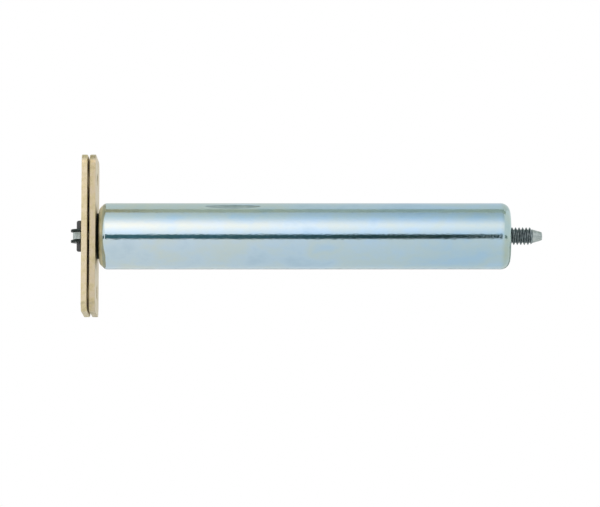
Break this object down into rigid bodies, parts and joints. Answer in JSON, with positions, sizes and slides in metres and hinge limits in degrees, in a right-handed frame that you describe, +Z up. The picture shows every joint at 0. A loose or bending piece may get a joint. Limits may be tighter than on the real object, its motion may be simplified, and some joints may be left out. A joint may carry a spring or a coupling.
{
  "type": "concealed door closer",
  "caption": "Sprung tube for a bored hole in a door's edge, with a short chain that pulls the door shut from a plate on the frame.",
  "frame": {"origin": "centre of the door plate's outer face, on the tube's axis", "axes": "+X along the tube into the door, +Z up along the plates' long side, +Y across the plates"},
  "size_m": [0.1706, 0.025, 0.057],
  "materials": {
    "zinc_plated_steel": "bright zinc plate with a blue-clear passivate",
    "brassed_steel": "thin brass plate on steel, satin",
    "turned_steel": "plain turned steel",
    "turned_brass": "plain turned brass",
    "spring_steel": "oil-tempered spring wire",
    "black_oxide_steel": "black oxide, lightly oiled",
    "chain_plate_steel": "dark blued chain plate, oiled",
    "chain_roller_steel": "bright hardened chain roller",
    "chain_pin_steel": "riveted chain pin, oiled"
  },
  "bodies": {
    "closer_body": {"tube": "zinc_plated_steel", "door_plate": "brassed_steel", "guide_bush": "black_oxide_steel", "front_spring_washer": "turned_steel"},
    "spring": {"compression_spring": "spring_steel"},
    "follower": {"follower_nut": "turned_brass", "rear_spring_washer": "turned_steel"},
    "rod_assembly": {"rod": "black_oxide_steel", "rod_fork": "turned_steel", "fork_pin": "turned_steel"},
    "frame_end": {"frame_plate": "brassed_steel", "anchor_pin": "black_oxide_steel"},
    "chain_link_9": {"chain_link_9_plates": "chain_plate_steel", "chain_link_9_bushes": "chain_roller_steel"},
    "chain_link_9_roller_front": {"chain_link_9_roller_front": "chain_roller_steel"},
    "chain_link_9_roller_rear": {"chain_link_9_roller_rear": "chain_roller_steel"},
    "chain_link_8": {"chain_link_8_plates": "chain_plate_steel", "chain_link_8_pins": "chain_pin_steel"},
    "chain_link_7": {"chain_link_7_plates": "chain_plate_steel", "chain_link_7_bushes": "chain_roller_steel"},
    "chain_link_7_roller_front": {"chain_link_7_roller_front": "chain_roller_steel"},
    "chain_link_7_roller_rear": {"chain_link_7_roller_rear": "chain_roller_steel"},
    "chain_link_6": {"chain_link_6_plates": "chain_plate_steel", "chain_link_6_pins": "chain_pin_steel"},
    "chain_link_5": {"chain_link_5_plates": "chain_plate_steel", "chain_link_5_bushes": "chain_roller_steel"},
    "chain_link_5_roller_front": {"chain_link_5_roller_front": "chain_roller_steel"},
    "chain_link_5_roller_rear": {"chain_link_5_roller_rear": "chain_roller_steel"},
    "chain_link_4": {"chain_link_4_plates": "chain_plate_steel", "chain_link_4_pins": "chain_pin_steel"},
    "chain_link_3": {"chain_link_3_plates": "chain_plate_steel", "chain_link_3_bushes": "chain_roller_steel"},
    "chain_link_3_roller_front": {"chain_link_3_roller_front": "chain_roller_steel"},
    "chain_link_3_roller_rear": {"chain_link_3_roller_rear": "chain_roller_steel"},
    "chain_link_2": {"chain_link_2_plates": "chain_plate_steel", "chain_link_2_pins": "chain_pin_steel"},
    "chain_link_1": {"chain_link_1_plates": "chain_plate_steel", "chain_link_1_bushes": "chain_roller_steel"},
    "chain_link_1_roller_front": {"chain_link_1_roller_front": "chain_roller_steel"},
    "chain_link_1_roller_rear": {"chain_link_1_roller_rear": "chain_roller_steel"}
  },
  "joints": [
    {"name": "chain_pull", "type": "slide", "parent": "closer_body", "child": "spring", "axis": [-1, 0, 0], "range_m": [0, 0.05], "stiffness_N_per_m": 2640, "springref_m": -0.015, "deforming": ["compression_spring"]},
    {"name": "tension_turn", "type": "hinge", "parent": "spring", "child": "rod_assembly", "pos_m": [0.1, 0, 0], "axis": [1, 0, 0], "range_deg": [0, 1080.5]},
    {"name": "nut_advance", "type": "slide", "parent": "spring", "child": "follower", "axis": [-1, 0, 0], "range_m": [0, 0.00381]},
    {"name": "link_9_bend", "type": "hinge", "parent": "rod_assembly", "child": "chain_link_9", "pos_m": [0.06795, 0, 0], "axis": [0, 0, 1], "range_deg": [-0.25, 0.25]},
    {"name": "link_9_front_roller_spin", "type": "hinge", "parent": "chain_link_9", "child": "chain_link_9_roller_front", "pos_m": [0.05994, 0, 0], "axis": [0, 0, 1], "continuous": true},
    {"name": "link_9_rear_roller_spin", "type": "hinge", "parent": "chain_link_9", "child": "chain_link_9_roller_rear", "pos_m": [0.06795, 0, 0], "axis": [0, 0, 1], "continuous": true},
    {"name": "link_8_bend", "type": "hinge", "parent": "chain_link_9", "child": "chain_link_8", "pos_m": [0.05994, 0, 0], "axis": [0, 0, 1], "range_deg": [-0.25, 0.25]},
    {"name": "link_7_bend", "type": "hinge", "parent": "chain_link_8", "child": "chain_link_7", "pos_m": [0.05194, 0, 0], "axis": [0, 0, 1], "range_deg": [-0.25, 0.25]},
    {"name": "link_7_front_roller_spin", "type": "hinge", "parent": "chain_link_7", "child": "chain_link_7_roller_front", "pos_m": [0.04394, 0, 0], "axis": [0, 0, 1], "continuous": true},
    {"name": "link_7_rear_roller_spin", "type": "hinge", "parent": "chain_link_7", "child": "chain_link_7_roller_rear", "pos_m": [0.05194, 0, 0], "axis": [0, 0, 1], "continuous": true},
    {"name": "link_6_bend", "type": "hinge", "parent": "chain_link_7", "child": "chain_link_6", "pos_m": [0.04394, 0, 0], "axis": [0, 0, 1], "range_deg": [-0.25, 0.25]},
    {"name": "link_5_bend", "type": "hinge", "parent": "chain_link_6", "child": "chain_link_5", "pos_m": [0.03594, 0, 0], "axis": [0, 0, 1], "range_deg": [0, 4.01]},
    {"name": "link_5_front_roller_spin", "type": "hinge", "parent": "chain_link_5", "child": "chain_link_5_roller_front", "pos_m": [0.02795, 0, 0], "axis": [0, 0, 1], "continuous": true},
    {"name": "link_5_rear_roller_spin", "type": "hinge", "parent": "chain_link_5", "child": "chain_link_5_roller_rear", "pos_m": [0.03594, 0, 0], "axis": [0, 0, 1], "continuous": true},
    {"name": "link_4_bend", "type": "hinge", "parent": "chain_link_5", "child": "chain_link_4", "pos_m": [0.02795, 0, 0], "axis": [0, 0, 1], "range_deg": [0, 7.01]},
    {"name": "link_3_bend", "type": "hinge", "parent": "chain_link_4", "child": "chain_link_3", "pos_m": [0.01995, 0, 0], "axis": [0, 0, 1], "range_deg": [0, 9.01]},
    {"name": "link_3_front_roller_spin", "type": "hinge", "parent": "chain_link_3", "child": "chain_link_3_roller_front", "pos_m": [0.01195, 0, 0], "axis": [0, 0, 1], "continuous": true},
    {"name": "link_3_rear_roller_spin", "type": "hinge", "parent": "chain_link_3", "child": "chain_link_3_roller_rear", "pos_m": [0.01995, 0, 0], "axis": [0, 0, 1], "continuous": true},
    {"name": "link_2_bend", "type": "hinge", "parent": "chain_link_3", "child": "chain_link_2", "pos_m": [0.01195, 0, 0], "axis": [0, 0, 1], "range_deg": [0, 10.01]},
    {"name": "link_1_bend", "type": "hinge", "parent": "chain_link_2", "child": "chain_link_1", "pos_m": [0.00394, 0, 0], "axis": [0, 0, 1], "range_deg": [0, 10.01]},
    {"name": "link_1_front_roller_spin", "type": "hinge", "parent": "chain_link_1", "child": "chain_link_1_roller_front", "pos_m": [-0.00405, 0, 0], "axis": [0, 0, 1], "continuous": true},
    {"name": "link_1_rear_roller_spin", "type": "hinge", "parent": "chain_link_1", "child": "chain_link_1_roller_rear", "pos_m": [0.00394, 0, 0], "axis": [0, 0, 1], "continuous": true},
    {"name": "frame_plate_swing", "type": "hinge", "parent": "chain_link_1", "child": "frame_end", "pos_m": [-0.00405, 0, 0], "axis": [0, 0, 1], "range_deg": [0, 34.01]}
  ],
  "couplings": [
    {"joint": "tension_turn", "follows": "nut_advance", "rad_per_m": 4947.4},
    {"joint": "link_5_bend", "follows": "chain_pull", "rad_per_m": 1.3963},
    {"joint": "link_4_bend", "follows": "chain_pull", "rad_per_m": 2.4435},
    {"joint": "link_3_bend", "follows": "chain_pull", "rad_per_m": 3.1416},
    {"joint": "link_2_bend", "follows": "chain_pull", "rad_per_m": 3.4907},
    {"joint": "link_1_bend", "follows": "chain_pull", "rad_per_m": 3.4907},
    {"joint": "frame_plate_swing", "follows": "chain_pull", "rad_per_m": 11.868}
  ]
}
